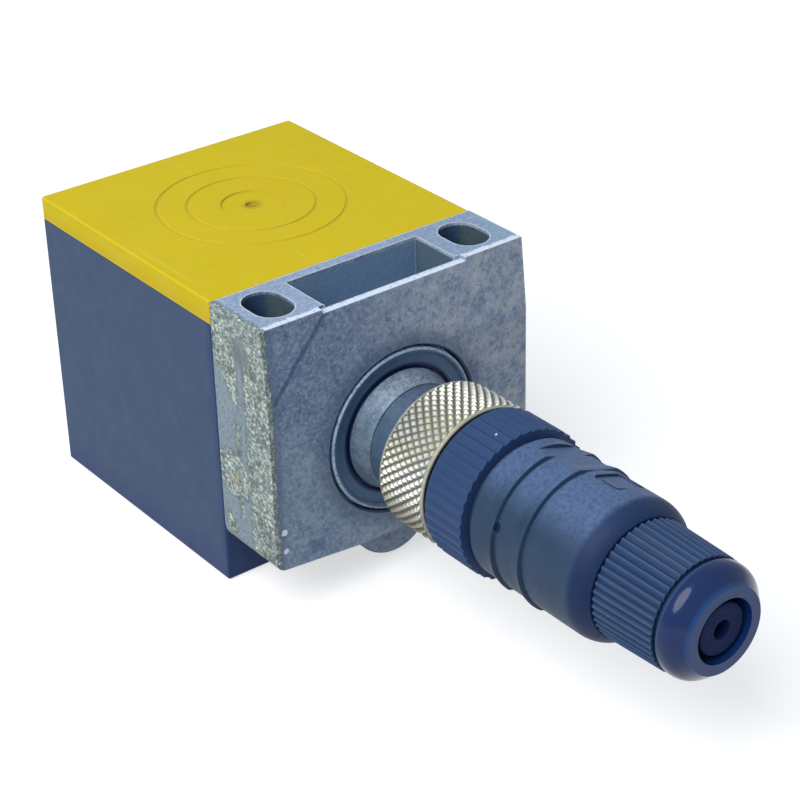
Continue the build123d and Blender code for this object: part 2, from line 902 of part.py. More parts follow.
def badge_place(angle, radius):
    """The plane over the middle of one recess, at a distance from the connector axis."""
    way = (cos(radians(angle)), 0, sin(radians(angle)))
    middle = body_at + badge_start + badge_length / 2
    spot = (radius * way[0], head_front - middle, axis_z + radius * way[2])
    return Plane(origin=spot, x_dir=(0, -1, 0), z_dir=way)


def badge_pad(angle):
    """A bare raised pad on the floor of a recess."""
    pad = RectangleRounded(badge_pad_length, badge_pad_width, badge_pad_corner)
    place = badge_place(angle, hollow_floor - badge_pad_height)
    return extrude(place * pad, amount=2 * badge_pad_height)


def clamp_cage():
    """The slotted cage that grips the cable when the clamp nut is tightened."""
    start = rib_at + gland_rib_thickness + fit
    end = entry_cone_at + swivel_gap
    inner = cage_radius - cage_wall
    taper = cage_wall / 2
    cage = turned(
        [
            (start, inner),
            (end, inner),
            (end, cage_radius - taper),
            (end - taper, cage_radius),
            (start, cage_radius),
        ]
    )
    for slot in range(cage_slots // 2):
        cut = Rot(0, 0, 360 * slot / cage_slots) * Rectangle(4 * cage_radius, cage_slot_width)
        cage -= extrude(front_plane(clamp_at) * cut, amount=end - clamp_at)
    return cage


def cable_seal():
    """The rubber sleeve that closes on the cable, with its nose in the entry."""
    start = rib_at + gland_rib_thickness + fit
    end = clamp_end_at - nose_recess
    outline = [
        (start, seal_hole_radius),
        (end, seal_hole_radius),
        (end, nose_radius),
        (entry_cone_at + seal_taper, nose_radius),
        (entry_cone_at, cable_seal_radius),
        (start, cable_seal_radius),
    ]
    return turned(outline, [(end, nose_radius, nose_edge_radius)])


def thrust_ring():
    """The slip ring between the cage's foot and the clamp nut."""
    outer = clamp_barrel_radius
    return tube(thrust_at, thrust_at + thrust_thickness, outer, cage_radius + running_gap)


def clamp_nut():
    """The ribbed clamp nut: threaded barrel, tapered ribs, neck and rounded knob with the cable entry."""
    rib_end_at = clamp_at + clamp_rib_length
    knob_at = rib_end_at + clamp_neck_length
    slope_at = clamp_end_at - knob_slope_length
    foot = front_plane(clamp_at) * rib_outline(clamp_radius, clamp_ribs)
    head = front_plane(rib_end_at) * rib_outline(clamp_tip_radius, clamp_ribs)
    ribs = loft([foot, head], ruled=True)
    core = turned(
        [
            (clamp_front_at, 0),
            (clamp_front_at, clamp_barrel_radius),
            (clamp_at + clamp_core_step, clamp_barrel_radius),
            (clamp_at + clamp_core_step, clamp_neck_radius),
            (knob_at, clamp_neck_radius),
            (knob_at, knob_radius),
            (slope_at, knob_radius),
            (clamp_end_at, knob_face_radius),
            (clamp_end_at, 0),
        ],
        [(knob_at, knob_radius, knob_back_radius), (slope_at, knob_radius, knob_front_radius)],
    )
    bore = turned(
        [
            (clamp_front_at, 0),
            (clamp_front_at, clamp_bore),
            (entry_cone_at, clamp_bore),
            (entry_cone_at + entry_cone, entry_radius),
            (clamp_end_at, entry_radius),
            (clamp_end_at, 0),
        ]
    )
    return ribs + core - bore


def save(name, *shapes):
    """Write one named node, as one solid or a group of separate solids."""
    solids = [solid for shape in shapes for solid in shape.solids()]
    node = solids[0] if len(solids) == 1 else Compound(children=solids)
    export_step(node, f"parts/{name}.step")


os.makedirs("parts", exist_ok=True)
save("active_face", active_face())
save("housing", housing())
save("ferrite_core", ferrite_core())
save("coil_bobbin", coil_bobbin())
save("coil_winding", coil_winding())
save("core_cushion", core_cushion())
save("coil_pins", *coil_pins())
save("circuit_board", circuit_board())
save("oscillator_chip", oscillator_chip())
save("output_driver", output_driver())
save("protection_diodes", *protection_diodes())
save("capacitors", *capacitors())
save("trim_resistor", trim_resistor())
save("potting_resin", potting_resin())
save("turret", turret())
save("turret_gasket", turret_gasket())
save("turret_nut", turret_nut())
save("contact_carrier", contact_carrier())
save("contact_pins", *contact_pins())
save("lead_wires", *lead_wires())
save("base_plate", base_plate())
save("lock_screw", lock_screw())
save("lock_pad", lock_pad())
save("coupling_nut", coupling_nut())
save("socket_insert", socket_insert())
save("socket_contacts", *socket_contacts())
save("terminal_screws", *terminal_screws())
save("plug_seal", plug_seal())
save("ribbed_ring", ribbed_ring())
save("body_seal", body_seal())
save("grip_body", grip_body())
save("clamp_cage", clamp_cage())
save("cable_seal", cable_seal())
save("thrust_ring", thrust_ring())
save("clamp_nut", clamp_nut())
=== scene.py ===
from math import cos, radians, sin, tau

import bpy
from mathutils import Matrix, Vector


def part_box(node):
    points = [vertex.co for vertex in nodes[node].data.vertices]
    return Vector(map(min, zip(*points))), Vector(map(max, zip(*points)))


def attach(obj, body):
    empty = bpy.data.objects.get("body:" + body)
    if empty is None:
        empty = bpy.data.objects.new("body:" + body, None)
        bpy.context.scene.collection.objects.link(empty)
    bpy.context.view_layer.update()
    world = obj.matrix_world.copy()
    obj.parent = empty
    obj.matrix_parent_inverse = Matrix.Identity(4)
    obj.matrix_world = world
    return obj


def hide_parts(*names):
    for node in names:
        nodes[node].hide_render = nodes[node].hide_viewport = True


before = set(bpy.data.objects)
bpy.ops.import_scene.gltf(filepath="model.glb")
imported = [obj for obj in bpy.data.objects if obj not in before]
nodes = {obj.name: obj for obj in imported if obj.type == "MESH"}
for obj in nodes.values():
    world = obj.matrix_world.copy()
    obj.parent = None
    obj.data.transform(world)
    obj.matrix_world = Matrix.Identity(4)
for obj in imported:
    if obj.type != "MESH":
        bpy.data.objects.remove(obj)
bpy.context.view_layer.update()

# The frame's own places, in metres: +Z leaves the active face and the connector points along -Y.
MM = 0.001
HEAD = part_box("housing")
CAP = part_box("active_face")
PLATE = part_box("base_plate")
AXIS_Z = (CAP[1].z + HEAD[0].z) / 2
HEAD_FRONT = HEAD[0].y
LEFT = PLATE[0].x
PLATE_FRONT = PLATE[0].y

# The camera at the photograph's viewing angle
CAMERA_AZIMUTH = radians(-36.94)
CAMERA_ELEVATION = radians(29.54)
CAMERA_ROLL = radians(-1.59)
CAMERA_DISTANCE = 287.95 * MM
CAMERA_ACROSS = 6.52 * MM
CAMERA_UP = -0.68 * MM
CAMERA_NEAR = 10 * MM
SENSOR_WIDTH = 36.0
IMAGE_WIDTH = 800
FOCAL_PIXELS = 2244.9
LENS = SENSOR_WIDTH * FOCAL_PIXELS / IMAGE_WIDTH

# Knurled nut: cells round it, steps in each cell, and the flat share of a point's top
KNURL_CELLS = 49
KNURL_STEPS = 8
KNURL_FLAT = 0.25
KNURL_PITCH = 1.5 * MM
KNURL_DEPTH = 0.42 * MM
NUT_BORE = 6.08 * MM
NUT_RIM_WIDTH = 0.5 * MM
NUT_RIM_DROP = 0.22 * MM
NUT_BEVEL = 0.18 * MM

# The casting's flow line: x gained for each rise in z, and x at the axis' height
FLOW_SLOPE = 0.918
FLOW_START = -28.5 * MM

# Where finishes change along the connector, in millimetres in front of the head
RING_FACE_AT = 11.0
NECK_AT = 14.0
SHOULDER_AT = 52.1
CLAMP_AT = 55.2
KNOB_AT = 64.6

# Where finishes change with the radius, in millimetres, and how far the clamp's crests sink per length
CAP_RINGS = (12.42, 8.42, 4.1)
GATE_RADIUS = 1.9
RING_FACE_BORE = 9.0
LIP_RADIUS = 10.5
RING_CREST = 9.8
CLAMP_CREST = 7.55
CLAMP_TAPER = 0.033
KNOB_FACE_RADIUS = 5.9
ENTRY_RADIUS = 4.2

# Marks on the plug, in millimetres: across, in front of the head, and above the axis
RING_WHITE_DOT = (-2.3, 32.1, 9.5)
GRIP_DENT = (-8.46, 39.8, 2.9)

# Marks on the plate's front, in millimetres: in from its left side, above the rear face, and a speck's size
STAMPED_SQUARE = (6.1, 8.5)
WHITE_SPECKS = ((1.4, 12.3, 0.56), (1.5, 9.6, 0.46))

# Ovals on the plate's left side, in millimetres: centre behind the front and above the rear face, the
# factors that squeeze it, and the distances where it ends and where it is full
CRUST_ISLAND = ((8.4, 17.4), (0.9, 1.0), (3.5, 3.0))
CRUST_HEEL = ((9.6, 9.6), (1.4, 1.0), (1.9, 1.5))
BARE_PATCH = ((5.3, 35.5), (1.0, 0.8), (2.0, 1.2))
RUST_SPOT = ((7.6, 17.0), (0.8, 1.3), (1.6, 0.4))

# Plain finishes: colour, metallic, roughness, mottling and skin in millimetres, and the nodes they dress
PLAIN_FINISHES = {
    "seal_rubber": ((4, 30, 80), 0.0, 0.7, 1.6, 0.3, ["cable_seal", "plug_seal", "turret_gasket"]),
    "ferrite": ((58, 58, 62), 0.3, 0.6, 2, 0.03, ["ferrite_core"]),
    "natural_plastic": (
        (206, 200, 182), 0.0, 0.5, 4, 0.03, ["coil_bobbin", "contact_carrier", "clamp_cage"],
    ),
    "foam": ((66, 66, 70), 0.0, 0.9, 0.5, 0.03, ["core_cushion"]),
    "board_green": ((34, 110, 66), 0.0, 0.4, 3, 0.03, ["circuit_board"]),
    "chip_black": (
        (36, 36, 38), 0.0, 0.55, 0.6, 0.03, ["oscillator_chip", "output_driver", "protection_diodes"],
    ),
    "can_aluminium": ((196, 198, 204), 1.0, 0.3, 2, 0.03, ["capacitors"]),
    "trimmer_blue": ((40, 84, 160), 0.0, 0.4, 2, 0.03, ["trim_resistor"]),
    "resin": ((70, 60, 50), 0.0, 0.3, 6, 0.03, ["potting_resin"]),
    "brass": (
        (212, 178, 96), 1.0, 0.3, 1, 0.03, ["coil_pins", "contact_pins", "socket_contacts", "lock_pad"],
    ),
    "zinc_steel": (
        (168, 172, 178), 1.0, 0.35, 1, 0.03, ["turret_nut", "terminal_screws", "lock_screw", "thrust_ring"],
    ),
}
DARK_SHARE = 0.72
WINDING_SCALE = 420.0
PLASTIC_SPECULAR = 0.22
BEVEL_SAMPLES = 6

# Sockets of a colour mix node, and the angle above which an edge stays sharp
MIX_FIRST = 6
MIX_SECOND = 7
MIX_RESULT = 2
SHARP_ANGLE = radians(28)

# Lamp, surround and floor
ROOM_MIDDLE = Vector((0, -0.03, 0.02))
KEY_WAY = (-0.62, -0.14, 0.77)
KEY_DISTANCE = 0.8
KEY_SIZE = 0.7
KEY_POWER = 6.6
AMBIENT_LEVEL = 0.36
AMBIENT_TINT = (0.86, 0.98, 1.16)
GLOSS_LEVEL = 0.7
WHITE = (1, 1, 1, 1)
FLOOR_HALF = 2.0
FLOOR_DROP = 0.05 * MM
FLOOR_GLOW = 0.62
FLOOR_GREYS = ((0.5, 0.5, 0.5, 1), (0.52, 0.52, 0.52, 1))


def linear(red, green, blue):
    """A colour written as on screen, 0 to 255, as the shader wants it."""
    scaled = [c / 255 for c in (red, green, blue)]
    return [c / 12.92 if c <= 0.04045 else ((c + 0.055) / 1.055) ** 2.4 for c in scaled] + [1.0]


def feed(tree, socket, value):
    """Link a socket to another one, or give it a plain value."""
    if isinstance(value, bpy.types.NodeSocket):
        tree.links.new(value, socket)
    else:
        socket.default_value = value


def mixed(tree, factor, first, second):
    """The first colour where the factor is 0 and the second where it is 1."""
    node = tree.nodes.new("ShaderNodeMix")
    node.data_type = "RGBA"
    feed(tree, node.inputs["Factor"], factor)
    feed(tree, node.inputs[MIX_FIRST], first)
    feed(tree, node.inputs[MIX_SECOND], second)
    return node.outputs[MIX_RESULT]


class Finish:
    """One procedural material, with short ways to add to its node tree."""

    def __init__(self, name, metallic=0.0, coat=0.0, specular=0.5):
        self.material = bpy.data.materials.new(name)
        self.material.use_nodes = True
        self.tree = self.material.node_tree
        self.shader = self.tree.nodes["Principled BSDF"]
        self.shader.inputs["Metallic"].default_value = metallic
        self.shader.inputs["Coat Weight"].default_value = coat
        self.shader.inputs["Specular IOR Level"].default_value = specular
        self.place = self.add("ShaderNodeTexCoord").outputs["Object"]
        self.x, self.y, self.z = self.add("ShaderNodeSeparateXYZ", Vector=self.place).outputs
        self.normal = None

    def add(self, kind, **inputs):
        node = self.tree.nodes.new(kind)
        for name, value in inputs.items():
            self.feed(node.inputs[name], value)
        return node

    def feed(self, socket, value):
        feed(self.tree, socket, value)

    def math(self, operation, first, second):
        """Arithmetic on masks, kept within 0 to 1."""
        node = self.tree.nodes.new("ShaderNodeMath")
        node.operation = operation
        node.use_clamp = operation in ("ADD", "SUBTRACT", "MULTIPLY")
        self.feed(node.inputs[0], first)
        self.feed(node.inputs[1], second)
        return node.outputs[0]

    def span(self, *parts):
        """The length of the vector made of the given parts."""
        joined = self.add("ShaderNodeCombineXYZ")
        for socket, part in zip(joined.inputs, parts):
            self.feed(socket, part)
        node = self.tree.nodes.new("ShaderNodeVectorMath")
        node.operation = "LENGTH"
        self.feed(node.inputs[0], joined.outputs[0])
        return node.outputs["Value"]

    def loose(self, operation, value, amount):
        """Arithmetic on lengths, which may leave 0 to 1."""
        node = self.tree.nodes.new("ShaderNodeMath")
        node.operation = operation
        self.feed(node.inputs[0], value)
        self.feed(node.inputs[1], amount)
        return node.outputs[0]

    def minus(self, value, amount):
        return self.loose("SUBTRACT", value, amount)

    def product(self, value, amount):
        return self.loose("MULTIPLY", value, amount)

    def noise(self, size, detail=2.0, roughness=0.5, stretch=(1, 1, 1), turn=(0, 0, 0)):
        """Cloudy noise from 0 to 1, with features about size metres across."""
        placed = self.add("ShaderNodeMapping", Vector=self.place, Scale=stretch, Rotation=turn)
        cloud = self.add("ShaderNodeTexNoise", Vector=placed.outputs[0], Scale=1 / size)
        cloud.inputs["Detail"].default_value = detail
        cloud.inputs["Roughness"].default_value = roughness
        return cloud.outputs["Fac"]

    def cells(self, size, stretch=(1, 1, 1)):
        """Distance to the nearest of scattered points, about 0 to 1."""
        placed = self.add("ShaderNodeMapping", Vector=self.place, Scale=stretch)
        return self.add("ShaderNodeTexVoronoi", Vector=placed.outputs[0], Scale=1 / size).outputs["Distance"]

    def between(self, value, low, high):
        """0 at low and 1 at high, smooth between them, and reversed if low is the larger."""
        node = self.tree.nodes.new("ShaderNodeMapRange")
        node.interpolation_type = "SMOOTHSTEP"
        self.feed(node.inputs["Value"], value)
        self.feed(node.inputs["From Min"], low)
        self.feed(node.inputs["From Max"], high)
        return node.outputs["Result"]

    def around(self, level, size, spread=0.2):
        """A value that wanders a little about a level."""
        return self.math("ADD", level, self.product(self.minus(self.noise(size, 3), 0.5), spread))

    def both(self, *masks):
        """Where all the masks are, each a socket or a plain share."""
        result = masks[0]
        for mask in masks[1:]:
            result = self.math("MULTIPLY", result, mask)
        return result

    def either(self, *masks):
        """Where any of the masks is."""
        result = masks[0]
        for mask in masks[1:]:
            result = self.math("MAXIMUM", result, mask)
        return result

    def drop(self, mask, hole):
        """What stays of one mask where another is taken out."""
        return self.math("SUBTRACT", mask, hole)

    def mix(self, factor, first, second):
        return mixed(self.tree, factor, first, second)

    def facing(self, axis):
        """How far the surface faces along a positive or negative axis, from 0 to 1."""
        normal = self.add("ShaderNodeTexCoord").outputs["Normal"]
        parts = self.add("ShaderNodeSeparateXYZ", Vector=normal).outputs
        return self.math("MULTIPLY", parts["XYZ".index(axis[1])], 1.0 if axis[0] == "+" else -1.0)

    def edges(self, radius):
        """1 on convex and concave edges, 0 on flats."""
        soft = self.tree.nodes.new("ShaderNodeBevel")
        soft.samples = BEVEL_SAMPLES
        soft.inputs["Radius"].default_value = radius
        flat = self.add("ShaderNodeNewGeometry").outputs["Normal"]
        dot = self.tree.nodes.new("ShaderNodeVectorMath")
        dot.operation = "DOT_PRODUCT"
        self.feed(dot.inputs[0], soft.outputs["Normal"])
        self.feed(dot.inputs[1], flat)
        return self.between(dot.outputs["Value"], 0.99, 0.8)

    def bump(self, height, depth):
        """Raise the surface by up to the depth, on top of earlier bumps."""
        node = self.add("ShaderNodeBump", Height=height, Distance=depth, Strength=1.0)
        if self.normal:
            self.feed(node.inputs["Normal"], self.normal)
        self.normal = node.outputs["Normal"]

    def done(self, colour, roughness):
        self.feed(self.shader.inputs["Base Color"], colour)
        self.feed(self.shader.inputs["Roughness"], roughness)
        if self.normal:
            self.feed(self.shader.inputs["Normal"], self.normal)
        return self.material


def axis_radius(finish):
    """Distance from the connector's axis."""
    return finish.span(finish.x, 0.0, finish.minus(finish.z, AXIS_Z))


def at(distance):
    """The y of a place so many millimetres in front of the head."""
    return HEAD_FRONT - distance * MM


def away(f, mark, squeeze=1.0):
    """Distance from a mark on the plug, with its height squeezed by a factor."""
    across, distance, above = mark
    height = f.product(f.minus(f.z, AXIS_Z + above * MM), squeeze)
    return f.span(f.minus(f.x, across * MM), f.minus(f.y, at(distance)), height)


def oval(f, depth, height, centre, squeeze, reach):
    """A mask that is full inside an oval on the plate's left side."""
    across = f.product(f.minus(depth, centre[0] * MM), squeeze[0])
    along = f.product(f.minus(height, centre[1] * MM), squeeze[1])
    return f.between(f.span(across, along), reach[0] * MM, reach[1] * MM)


def yellow_cap():
    """Moulded yellow plastic with painted shade along its ring grooves, a stained gate mark, scuffs, and
    rubbed edges that also carry a painted highlight.
    """
    f = Finish("cap_yellow", specular=0.2)
    base = f.mix(f.noise(9 * MM, 3), linear(203, 180, 22), linear(211, 188, 26))
    speck = f.between(f.noise(0.5 * MM, 4, 0.7), 0.66, 0.8)
    base = f.mix(f.math("MULTIPLY", speck, 0.35), base, linear(176, 148, 30))
    radius = f.span(f.x, f.y)
    # Painted shade: darker lines along the ring grooves.
    for ring in CAP_RINGS:
        near = f.span(f.minus(radius, ring * MM), 0.0)
        mark = f.between(near, 0.32 * MM, 0.05 * MM)
        base = f.mix(f.math("MULTIPLY", mark, 0.4), base, linear(178, 156, 34))
    stain = f.both(f.between(radius, GATE_RADIUS * MM, 0.5 * MM), f.noise(0.5 * MM, 3))
    base = f.mix(stain, base, linear(120, 92, 32))
    low = f.both(f.between(f.z, CAP[1].z - 1.2 * MM, CAP[1].z - 2.6 * MM), 0.35)
    base = f.mix(low, base, linear(196, 158, 30))
    scratch = f.between(f.noise(1.4 * MM, 4, 0.6, (1, 0.05, 1), (0, 0, 0.6)), 0.62, 0.72)
    base = f.mix(f.math("MULTIPLY", scratch, 0.22), base, linear(228, 210, 84))
    # Paler edges: partly rubbed, partly a painted highlight along the rounded edges.
    base = f.mix(f.both(f.edges(0.35 * MM), 0.35), base, linear(232, 214, 90))
    f.bump(f.noise(0.35 * MM, 3, 0.6), 0.02 * MM)
    f.bump(f.noise(4 * MM, 2), 0.05 * MM)
    return f.done(base, f.between(f.noise(3 * MM, 3), -1.2, 1.6))


def moulded(f, deep, pale, grain):
    """Moulded plastic's colour: soft mottling, fine dust, paler rubbed edges and a fine grain."""
    base = f.mix(f.between(f.noise(5 * MM, 4, 0.6), 0.3, 0.7), deep, pale)
    dust = f.between(f.noise(0.28 * MM, 3, 0.7), 0.66, 0.84)
    base = f.mix(f.both(dust, 0.3), base, linear(128, 144, 168))
    base = f.mix(f.both(f.edges(0.25 * MM), f.noise(0.8 * MM, 3), 0.3), base, linear(104, 126, 162))
    f.bump(f.noise(0.22 * MM, 3, 0.7), grain)
    return base


def ribbed(f, base, crest, taper, deep, pale):
    """Painted shade in the valleys and a painted highlight on the crests of ribs whose crest sinks by the
    taper away from the clamp's start.
    """
    reach = f.minus(axis_radius(f), f.product(f.minus(f.y, at(CLAMP_AT)), taper))
    base = f.mix(f.between(reach, (crest - 0.06) * MM, (crest - 0.26) * MM), base, deep)
    return f.mix(f.both(f.between(reach, (crest - 0.1) * MM, (crest - 0.02) * MM), 0.6), base, pale)


def housing_plastic():
    """The head's blue-black shell, with painted shade beside the base plate and towards its foot."""
    f = Finish("housing_plastic", specular=PLASTIC_SPECULAR)
    base = moulded(f, linear(46, 68, 99), linear(50, 72, 104), 0.02 * MM)
    # Painted shade: deeper blue beside the base plate and towards the foot.
    beside = f.between(f.y, HEAD_FRONT + 1.8 * MM, HEAD_FRONT + 0.4 * MM)
    foot = f.between(f.z, 6 * MM, 0.5 * MM)
    base = f.mix(f.both(f.either(beside, foot), 0.6), base, linear(28, 50, 98))
    return f.done(base, f.around(0.5, 2 * MM))


def ring_plastic():
    """The ribbed ring, with painted shade and highlight on its ribs, and one small white dot."""
    f = Finish("ring_plastic", specular=PLASTIC_SPECULAR)
    base = moulded(f, linear(41, 65, 104), linear(46, 71, 110), 0.02 * MM)
    # Painted shade in the rib valleys and painted highlight on the crests.
    base = ribbed(f, base, RING_CREST, 0.0, linear(44, 68, 108), linear(50, 75, 110))
    white_dot = f.between(away(f, RING_WHITE_DOT), 0.24 * MM, 0.16 * MM)
    base = f.mix(white_dot, base, linear(190, 210, 230))
    return f.done(base, f.around(0.5, 2 * MM))


def grip_plastic():
    """The plug's body: paler on top, rubbed and with painted light from above, deep blue on its front
    shoulder, and one small dent painted as shade with a highlight on its rim.
    """
    f = Finish("grip_plastic", specular=PLASTIC_SPECULAR)
    base = moulded(f, linear(40, 60, 85), linear(47, 68, 93), 0.05 * MM)
    # Paler upward faces: rubbed wear and painted light from above.
    upward = f.between(f.facing("+Z"), 0.5, 0.95)
    rub_and_top_light = f.both(upward, f.between(f.noise(0.5 * MM, 4, 0.7), 0.1, 0.7), 0.7)
    base = f.mix(rub_and_top_light, base, linear(98, 122, 166))
    shoulder = f.between(f.y, at(SHOULDER_AT - 0.6), at(SHOULDER_AT + 0.6))
    base = f.mix(f.both(shoulder, 0.85), base, linear(6, 34, 76))
    # The dent as painted light: a painted highlight on part of its rim and painted shade inside it.
    reach = away(f, GRIP_DENT, 0.7)
    rim = f.both(f.between(reach, 0.8 * MM, 0.66 * MM), f.noise(0.6 * MM), 0.25)
    base = f.mix(rim, base, linear(96, 122, 152))
    base = f.mix(f.between(reach, 0.66 * MM, 0.42 * MM), base, linear(16, 32, 64))
    return f.done(base, f.around(0.52, 2 * MM))


def clamp_plastic():
    """The gland nut: matte worn ribs with painted shade in their valleys and a painted highlight on their
    crests, a polished dark knob deepened by a painted dark reflection, a paler front ring and a deep entry.
    """
    f = Finish("clamp_plastic", coat=0.12, specular=PLASTIC_SPECULAR)
    base = moulded(f, linear(40, 64, 98), linear(48, 73, 108), 0.01 * MM)
    # Painted shade in the rib valleys and painted highlight on the crests.
    base = ribbed(f, base, CLAMP_CREST, CLAMP_TAPER, linear(30, 52, 88), linear(70, 98, 134))
    radius = axis_radius(f)
    # The knob's darker navy shoulder: its own dark colour, deepened as a painted dark reflection.
    knob = f.between(f.y, at(KNOB_AT - 0.1), at(KNOB_AT + 0.1))
    base = f.mix(knob, base, linear(16, 42, 88))
    base = f.mix(f.both(knob, f.between(radius, KNOB_FACE_RADIUS * MM, 5.5 * MM)), base, linear(26, 62, 116))
    base = f.mix(f.both(knob, f.between(radius, ENTRY_RADIUS * MM, 4.0 * MM)), base, linear(20, 50, 104))
    return f.done(base, f.math("SUBTRACT", f.around(0.55, 2 * MM), f.product(knob, 0.42)))


def cast_skin(f, cloud):
    """Mottled zinc: cloudy greys, warm stains towards the right, pale grit and dark pits."""
    base = f.mix(cloud, linear(104, 128, 158), linear(146, 164, 184))
    upper = f.both(f.between(f.x, 6 * MM, -8 * MM), f.between(f.z, 22 * MM, 32 * MM), 0.55)
    base = f.mix(upper, base, linear(78, 102, 138))
    warm = f.both(f.between(f.noise(2.2 * MM, 7, 0.74), 0.34, 0.66), f.between(f.x, -14 * MM, 12 * MM))
    base = f.mix(f.both(warm, 0.62), base, linear(204, 202, 204))
    grit = f.between(f.noise(0.5 * MM, 5, 0.7), 0.4, 0.66)
    base = f.mix(f.both(grit, 0.34), base, linear(204, 214, 224))
    pits = f.between(f.noise(0.8 * MM, 5, 0.7), 0.5, 0.34)
    return f.mix(f.both(pits, 0.45), base, linear(62, 86, 122))


def casting():
    """Weathered die-cast zinc: mottled skin, cut top, bright worn edges that also carry a painted highlight,
    and a corroded left side.
    """
    f = Finish("zinc_casting", metallic=0.1, specular=0.3)
    cloud = f.between(f.noise(3 * MM, 8, 0.76), 0.38, 0.62)
    base = front_marks(f, cast_skin(f, cloud))
    # Bright worn edges, partly a painted edge highlight.
    worn = f.between(f.noise(0.6 * MM, 4), 0.32, 0.56)
    edge = f.both(f.edges(0.35 * MM), worn, f.between(axis_radius(f), 14 * MM, 15 * MM))
    base = f.mix(f.both(edge, 0.7), base, linear(206, 218, 230))
    base = hollows(f, cut_top(f, base))
    base, crust = corrosion(f, base)
    f.bump(f.noise(0.3 * MM, 4, 0.7), 0.05 * MM)
    f.bump(f.noise(1.2 * MM, 6, 0.75), 0.14 * MM)
    f.bump(crust, 0.26 * MM)
    return f.done(base, f.between(f.both(cloud, 0.6), -1.2, 0.9))


def hollows(f, base):
    """Inside the top pocket and the two slots: smooth and bluer, with painted shade deep in the slots and a
    painted dull green reflection of the yellow cap where the wall faces left.
    """
    across = f.span(f.x, 0.0)
    inside = f.both(
        f.between(f.y, PLATE_FRONT + 2.1 * MM, PLATE_FRONT + 2.3 * MM),
        f.between(across, 18.9 * MM, 18.7 * MM),
        f.between(f.z, PLATE[1].z - 0.3 * MM, PLATE[1].z - 0.5 * MM),
        f.between(f.z, 24 * MM, 26 * MM),
    )
    cloud = f.noise(2 * MM, 4)
    # Painted reflection of the yellow cap: dull green where the wall faces left.
    left = f.between(f.facing("-X"), 0.5, 0.8)
    pocket = f.mix(cloud, linear(118, 147, 177), linear(128, 157, 188))
    pocket = f.mix(left, pocket, linear(84, 106, 118))
    # Painted shade: the slots are dark navy inside.
    slot = f.mix(cloud, linear(48, 72, 112), linear(58, 82, 114))
    slot = f.mix(left, slot, linear(72, 92, 98))
    return f.mix(inside, base, f.mix(f.between(across, 11.2 * MM, 11.4 * MM), pocket, slot))


def front_marks(f, base):
    """The front's darker left strip, painted shade round the collar and on its step, slanting flow line,
    stamped square and two white specks.
    """
    front = f.between(f.facing("-Y"), 0.7, 0.9)
    beside = f.between(f.x, LEFT + 2.2 * MM, LEFT + 1.0 * MM)
    base = f.mix(f.both(front, beside, 0.5), base, linear(88, 110, 138))
    # Painted shade round the collar on the front face, deeper on the collar's step.
    collar = f.between(axis_radius(f), 14.5 * MM, 11.5 * MM)
    base = f.mix(f.both(front, collar, 0.5), base, linear(62, 86, 118))
    base = f.mix(f.both(f.drop(collar, front), 0.85), base, linear(30, 50, 82))
    base = f.mix(f.both(front, flow_line(f), 0.75), base, linear(62, 84, 118))
    in_from_left, height = STAMPED_SQUARE
    square = f.both(
        f.between(f.span(f.minus(f.x, LEFT + in_from_left * MM), 0.0), 1.05 * MM, 0.9 * MM),
        f.between(f.span(f.minus(f.z, height * MM), 0.0), 1.0 * MM, 0.85 * MM),
    )
    base = f.mix(f.both(front, square, 0.5), base, linear(76, 98, 128))
    for in_from_left, height, size in WHITE_SPECKS:
        reach = f.span(f.minus(f.x, LEFT + in_from_left * MM), f.minus(f.z, height * MM))
        ragged = f.product(reach, f.minus(1.6, f.noise(0.4 * MM, 2)))
        speck = f.between(ragged, size * MM, size * 0.8 * MM)
        base = f.mix(f.both(front, speck), base, linear(236, 242, 250))
    return base


def flow_line(f):
    """The wavy slanting line on the upper left of the front, where the metal flowed together."""
    slant = f.minus(f.x, f.product(f.minus(f.z, AXIS_Z), FLOW_SLOPE))
    wave = f.product(f.minus(f.noise(1.2 * MM, 3), 0.5), 1.1 * MM)
    reach = f.span(f.minus(slant, f.minus(wave, -FLOW_START)), 0.0)
    return f.both(f.between(reach, 0.75 * MM, 0.1 * MM), f.between(f.z, 29 * MM, 31 * MM))


def cut_top(f, base):
    """The top's finely speckled cut face with a bright, broken burr along its front and edges."""
    high = f.between(f.z, PLATE[1].z - 0.7 * MM, PLATE[1].z - 0.55 * MM)
    top = f.both(high, f.between(f.facing("+Z"), 0.8, 0.95))
    speckle = f.between(f.noise(0.34 * MM, 5, 0.75, (0.6, 1.4, 1)), 0.36, 0.64)
    cut = f.mix(speckle, linear(128, 149, 178), linear(168, 186, 208))
    cut = f.mix(f.both(f.between(f.x, -2 * MM, 14 * MM), 0.25), cut, linear(108, 130, 160))
    ragged = f.product(f.minus(f.noise(0.7 * MM, 4, 0.7), 0.5), 1.6 * MM)
    front = f.between(f.minus(f.y, ragged), PLATE_FRONT + 2.0 * MM, PLATE_FRONT + 1.6 * MM)
    burr = f.both(f.either(front, f.edges(0.5 * MM)), f.between(f.noise(0.5 * MM, 4), 0.24, 0.46))
    cut = f.mix(burr, cut, linear(222, 233, 246))
    return f.mix(top, base, cut)


